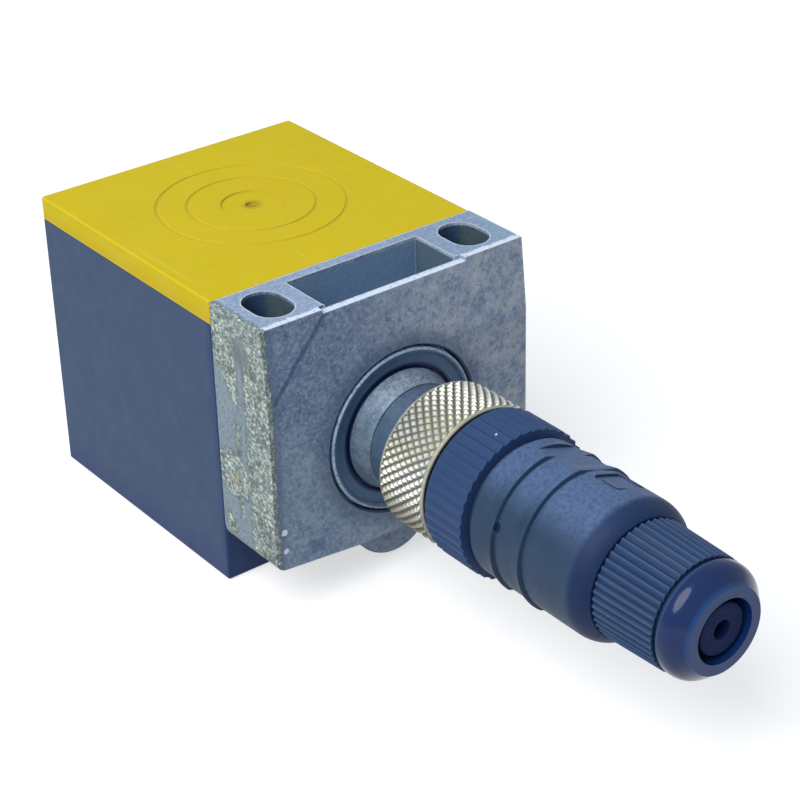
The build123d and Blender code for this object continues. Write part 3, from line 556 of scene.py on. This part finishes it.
def crust_cover(f, depth, height):
    """Where the crust lies: a front band, the top, a wedge under it, a thin thread and two islands."""
    band = f.between(depth, 5.4 * MM, 4.8 * MM)
    head = f.between(height, 35.6 * MM, 36.6 * MM)
    wedge = f.both(
        f.between(f.minus(depth, f.product(height, 0.72)), -12.2 * MM, -13.0 * MM),
        f.between(depth, 6.3 * MM, 6.7 * MM),
        f.between(height, 27 * MM, 28 * MM),
    )
    thread = f.both(
        f.between(f.span(f.minus(depth, 6.9 * MM), 0.0), 0.6 * MM, 0.3 * MM),
        f.between(height, 26 * MM, 25 * MM),
        f.between(height, 11 * MM, 12 * MM),
    )
    island = oval(f, depth, height, *CRUST_ISLAND)
    heel = oval(f, depth, height, *CRUST_HEEL)
    return f.either(band, head, wedge, thread, island, heel)


def crust_colour(f, grains, flakes):
    """Grey-green salt with olive clouds, white flakes and thin dark places."""
    salt = f.mix(grains, linear(118, 134, 132), linear(206, 220, 212))
    olive = f.between(f.noise(2.2 * MM, 4, 0.7), 0.5, 0.7)
    salt = f.mix(f.both(olive, 0.45), salt, linear(170, 180, 148))
    salt = f.mix(f.both(flakes, 0.8), salt, linear(238, 247, 241))
    thin = f.between(f.noise(1.5 * MM, 5, 0.75), 0.48, 0.38)
    return f.mix(f.both(thin, 0.75), salt, linear(96, 110, 110))


def corrosion(f, base):
    """A pale green crust on the left side, thick along the front edge, with bare streaks and a rust spot."""
    drift = f.product(f.minus(f.noise(0.9 * MM, 7, 0.8), 0.5), 3.6 * MM)
    behind = f.minus(f.y, PLATE_FRONT)
    depth = f.minus(behind, drift)
    height = f.minus(f.z, drift)
    side = f.between(f.minus(f.x, f.product(drift, 0.8)), LEFT + 0.85 * MM, LEFT + 0.55 * MM)
    patch = f.both(oval(f, depth, height, *BARE_PATCH), 0.8)
    holes = f.between(f.noise(0.8 * MM, 4, 0.7), 0.34, 0.4)
    crust = f.both(side, crust_cover(f, depth, height), f.drop(1.0, patch), holes)
    streaks = f.between(f.noise(0.5 * MM, 5, 0.8), 0.36, 0.64)
    bare = f.mix(streaks, linear(116, 134, 146), linear(154, 168, 176))
    bare = f.mix(patch, bare, linear(118, 120, 124))
    broad = (1, 0.8, 1)
    grains = f.between(f.noise(0.36 * MM, 4, 0.7, broad), 0.4, 0.6)
    scattered = f.between(f.noise(0.7 * MM, 4, 0.7, broad), 0.42, 0.56)
    flakes = f.both(f.between(f.cells(0.6 * MM, broad), 0.6, 0.36), scattered)
    base = f.mix(side, base, bare)
    base = f.mix(crust, base, crust_colour(f, grains, flakes))
    rust = f.both(oval(f, behind, f.z, *RUST_SPOT), f.between(f.noise(0.5 * MM, 3), 0.35, 0.6))
    base = f.mix(f.both(side, rust, 0.65), base, linear(206, 188, 136))
    return base, f.both(crust, f.math("ADD", f.both(grains, 0.6), f.both(flakes, 0.6)))


def turret_metal():
    """The swivel's die-cast skin: blue ring face, a worn lip that also carries a painted highlight, painted
    shade in the groove and on the neck, and a painted highlight on the dome's top.
    """
    f = Finish("turret_metal", metallic=0.3, specular=0.4)
    cloud = f.between(f.noise(1.6 * MM, 5, 0.7), 0.3, 0.7)
    base = f.mix(cloud, linear(82, 102, 122), linear(116, 134, 150))
    grit = f.between(f.noise(0.3 * MM, 4, 0.8), 0.5, 0.68)
    base = f.mix(f.both(grit, 0.4), base, linear(176, 190, 204))
    # Painted highlight on the upward faces.
    upward = f.between(f.facing("+Z"), 0.55, 0.98)
    bright = f.both(upward, f.between(f.noise(0.5 * MM, 5, 0.8), 0.38, 0.6), 0.42)
    base = f.mix(bright, base, linear(196, 210, 230))
    # Painted shade on the neck between the dome and the nut.
    neck = f.between(f.y, at(NECK_AT), at(NECK_AT + 0.1))
    base = f.mix(f.both(neck, 0.7), base, linear(66, 90, 120))
    radius = axis_radius(f)
    face = f.between(f.y, at(RING_FACE_AT + 0.12), at(RING_FACE_AT + 0.06))
    blue = f.mix(f.noise(0.6 * MM, 5, 0.7), linear(56, 84, 116), linear(80, 108, 138))
    base = f.mix(face, base, blue)
    # Painted shade in the groove inside the ring face.
    groove = f.between(radius, RING_FACE_BORE * MM, 8.7 * MM)
    base = f.mix(f.both(face, groove), base, linear(12, 34, 78))
    lip = f.between(radius, (LIP_RADIUS - 0.15) * MM, LIP_RADIUS * MM)
    base = f.mix(lip, base, linear(62, 90, 122))
    # Pale worn lip, partly a painted highlight on the rounded lip.
    ragged = f.between(f.noise(0.5 * MM, 5, 0.75), 0.3, 0.54)
    worn = f.both(f.between(radius, (LIP_RADIUS + 0.05) * MM, (LIP_RADIUS + 0.2) * MM), ragged)
    base = f.mix(worn, base, linear(160, 184, 208))
    f.bump(f.noise(0.3 * MM, 4, 0.7), 0.06 * MM)
    return f.done(base, 0.5)


def nickel():
    """Nickel plate on the knurled nut: grime and painted shade in the valleys, a painted warm reflection of
    the yellow cap on the left tops, and painted shade on the lower half.
    """
    f = Finish("nickel", metallic=0.75, specular=0.5)
    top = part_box("coupling_nut")[1].x
    # Dark valleys: grime and painted shade.
    height = f.between(axis_radius(f), top - KNURL_DEPTH, top - 0.06 * MM)
    base = f.mix(height, linear(84, 86, 80), linear(236, 238, 232))
    # Painted reflection of the yellow cap: warm tops on the left.
    warm = f.both(f.between(f.noise(4 * MM, 3), 0.36, 0.56), f.between(f.x, 6 * MM, -2 * MM))
    base = f.mix(f.both(warm, height, 0.5), base, linear(226, 220, 174))
    worn = f.between(f.noise(0.35 * MM, 3, 0.7), 0.6, 0.42)
    base = f.mix(f.both(worn, 0.35), base, linear(140, 142, 138))
    # Painted shade: a duller lower half.
    low = f.between(f.z, AXIS_Z + 3 * MM, AXIS_Z - 6 * MM)
    base = f.mix(f.both(low, 0.8), base, linear(112, 108, 88))
    f.bump(f.noise(0.25 * MM, 3, 0.6), 0.02 * MM)
    return f.done(base, f.between(f.noise(0.9 * MM, 4), -0.7, 1.9))


def plain(name, tint, metallic, rough, size, skin):
    """A finish for simple pieces: cloudy colour, varied gloss and a fine skin, its lengths in metres."""
    f = Finish(name, metallic=metallic, specular=0.5 if metallic else 0.2)
    shade = [c * DARK_SHARE for c in tint[:3]] + [1.0]
    base = f.mix(f.between(f.noise(size, 4, 0.6), 0.3, 0.7), shade, tint)
    f.bump(f.noise(size / 4, 3, 0.6), skin)
    return f.done(base, f.around(rough, size))


def windings():
    """Enamelled copper with one line for each turn of wire."""
    f = Finish("copper_windings", metallic=0.9)
    wave = f.add("ShaderNodeTexWave", Vector=f.place, Scale=WINDING_SCALE)
    wave.bands_direction = "Z"
    base = f.mix(wave.outputs["Fac"], linear(110, 52, 26), linear(206, 122, 72))
    f.bump(wave.outputs["Fac"], 0.12 * MM)
    return f.done(base, 0.35)


def dress(material, *names):
    """Give the named nodes one material."""
    for name in names:
        slots = nodes[name].data.materials
        slots.clear()
        slots.append(material)


def piece(name, verts, faces, body, material, replaced):
    """A new mesh piece that rides on a body in place of a node, with sharp edges kept sharp."""
    mesh = bpy.data.meshes.new(name)
    mesh.from_pydata(verts, [], faces)
    mesh.polygons.foreach_set("use_smooth", [True] * len(mesh.polygons))
    mesh.set_sharp_from_angle(angle=SHARP_ANGLE)
    mesh.materials.append(material)
    mesh.validate()
    obj = bpy.data.objects.new(name, mesh)
    bpy.context.scene.collection.objects.link(obj)
    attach(obj, body)
    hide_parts(replaced)


def knurl_drop(turn, run):
    """How far below the nut's tops the surface lies, and which slanting groove is the nearer."""
    first = turn * KNURL_CELLS + run / KNURL_PITCH
    second = turn * KNURL_CELLS - run / KNURL_PITCH
    gaps = [abs(slant - round(slant)) for slant in (first, second)]
    rise = min(2 * min(gaps) / (1 - KNURL_FLAT), 1.0)
    return (1 - rise) * KNURL_DEPTH, gaps[0] < gaps[1]


def nut_rows(low, high, top):
    """The nut's rings as (y, radius), with None for the rings that carry the knurl."""
    rim = top - NUT_RIM_DROP
    start = high.y - NUT_RIM_WIDTH
    end = low.y + NUT_RIM_WIDTH
    steps = round((start - end) / KNURL_PITCH * KNURL_STEPS)
    field = [(start + (end - start) * step / steps, None) for step in range(steps + 1)]
    rear = [(high.y, NUT_BORE), (high.y, rim - NUT_BEVEL), (high.y - NUT_BEVEL, rim), (start, rim)]
    front = [(end, rim), (low.y + NUT_BEVEL, rim), (low.y, rim - NUT_BEVEL), (low.y, NUT_BORE)]
    return rear + field + front


def nut_faces(rows, around, start):
    """Quads on the rims, and on the knurl triangles whose diagonals follow the nearer groove."""
    faces = []
    for row in range(len(rows)):
        after = (row + 1) % len(rows)
        for column in range(around):
            beside = (column + 1) % around
            a, b = row * around + column, row * around + beside
            c, d = after * around + beside, after * around + column
            if rows[row][1] or rows[after][1]:
                faces.append((a, b, c, d))
                continue
            middle = (rows[row][0] + rows[after][0]) / 2 - start
            if knurl_drop((column + 0.5) / around, middle)[1]:
                faces += [(a, b, c), (a, c, d)]
            else:
                faces += [(a, b, d), (b, c, d)]
    return faces


def knurled_nut(material):
    """The coupling nut with a field of flat-topped four-sided points between two smooth rims."""
    low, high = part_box("coupling_nut")
    top = (high.x - low.x) / 2
    rows = nut_rows(low, high, top)
    around = KNURL_CELLS * KNURL_STEPS
    verts = []
    for y, radius in rows:
        for column in range(around):
            turn = column / around
            reach = radius or top - knurl_drop(turn, y - low.y)[0]
            verts.append((reach * cos(tau * turn), y, AXIS_Z + reach * sin(tau * turn)))
    faces = nut_faces(rows, around, low.y)
    piece("knurled_nut", verts, faces, "coupling", material, "coupling_nut")


def finishes():
    """Every carried-over node gets its own finish, and the nut its knurl."""
    dress(yellow_cap(), "active_face")
    dress(housing_plastic(), "housing")
    dress(casting(), "base_plate")
    dress(turret_metal(), "turret")
    dress(ring_plastic(), "ribbed_ring", "body_seal")
    dress(grip_plastic(), "grip_body", "socket_insert")
    dress(clamp_plastic(), "clamp_nut")
    dress(windings(), "coil_winding", "lead_wires")
    for name, (colour, metallic, rough, mottling, skin, names) in PLAIN_FINISHES.items():
        dress(plain(name, linear(*colour), metallic, rough, mottling * MM, skin * MM), *names)
    knurled_nut(nickel())


def camera():
    """The photograph's camera, fitted to the head's edges and the connector's circles."""
    back = Vector((
        sin(CAMERA_AZIMUTH) * cos(CAMERA_ELEVATION),
        -cos(CAMERA_AZIMUTH) * cos(CAMERA_ELEVATION),
        sin(CAMERA_ELEVATION),
    ))
    across = Vector((cos(CAMERA_AZIMUTH), sin(CAMERA_AZIMUTH), 0))
    upward = back.cross(across)
    right = across * cos(CAMERA_ROLL) + upward * sin(CAMERA_ROLL)
    up = upward * cos(CAMERA_ROLL) - across * sin(CAMERA_ROLL)
    data = bpy.data.cameras.new("camera")
    data.sensor_width = SENSOR_WIDTH
    data.lens = LENS
    data.clip_start = CAMERA_NEAR
    view = bpy.data.objects.new("camera", data)
    bpy.context.scene.collection.objects.link(view)
    aim = Vector((0, HEAD_FRONT, AXIS_Z))
    place = aim + back * CAMERA_DISTANCE + right * CAMERA_ACROSS + up * CAMERA_UP
    view.matrix_world = Matrix.Translation(place) @ Matrix((right, up, back)).transposed().to_4x4()
    bpy.context.scene.camera = view


def key_lamp():
    """One soft round lamp from the upper left."""
    data = bpy.data.lights.new("key", "AREA")
    data.shape = "DISK"
    data.size = KEY_SIZE
    data.energy = KEY_POWER
    light = bpy.data.objects.new("key", data)
    way = Vector(KEY_WAY) * KEY_DISTANCE
    light.location = ROOM_MIDDLE + way
    light.rotation_euler = way.to_track_quat("Z", "Y").to_euler()
    bpy.context.scene.collection.objects.link(light)


def floor():
    """A white floor that keeps the object's shadow."""
    half = FLOOR_HALF
    corners = [(-half, -half, 0), (half, -half, 0), (half, half, 0), (-half, half, 0)]
    mesh = bpy.data.meshes.new("floor")
    mesh.from_pydata(corners, [], [(0, 1, 2, 3)])
    obj = bpy.data.objects.new("floor", mesh)
    obj.location.z = -FLOOR_DROP
    bpy.context.scene.collection.objects.link(obj)
    white = Finish("floor_white", specular=0.0)
    mesh.materials.append(white.material)
    path = white.add("ShaderNodeLightPath").outputs
    seen = white.math("ADD", path["Is Camera Ray"], path["Is Glossy Ray"])
    white.shader.inputs["Emission Color"].default_value = WHITE
    white.feed(white.shader.inputs["Emission Strength"], white.math("MULTIPLY", seen, FLOOR_GLOW))
    white.done(white.mix(white.noise(0.2), *FLOOR_GREYS), 0.9)


def surround():
    """A plain world: bluish light on the object, grey in reflections and white to the camera."""
    world = bpy.data.worlds.new("surround")
    bpy.context.scene.world = world
    world.use_nodes = True
    tree = world.node_tree
    path = tree.nodes.new("ShaderNodeLightPath").outputs
    ambient = [c * AMBIENT_LEVEL for c in AMBIENT_TINT] + [1.0]
    glossy = mixed(tree, path["Is Glossy Ray"], ambient, [GLOSS_LEVEL] * 3 + [1.0])
    seen = mixed(tree, path["Is Camera Ray"], glossy, WHITE)
    feed(tree, tree.nodes["Background"].inputs["Color"], seen)


def room():
    """A pale floor, a plain surround and a soft lamp, with colours shown as they are."""
    floor()
    surround()
    key_lamp()
    bpy.context.scene.view_settings.view_transform = "Standard"


camera()
room()
finishes()
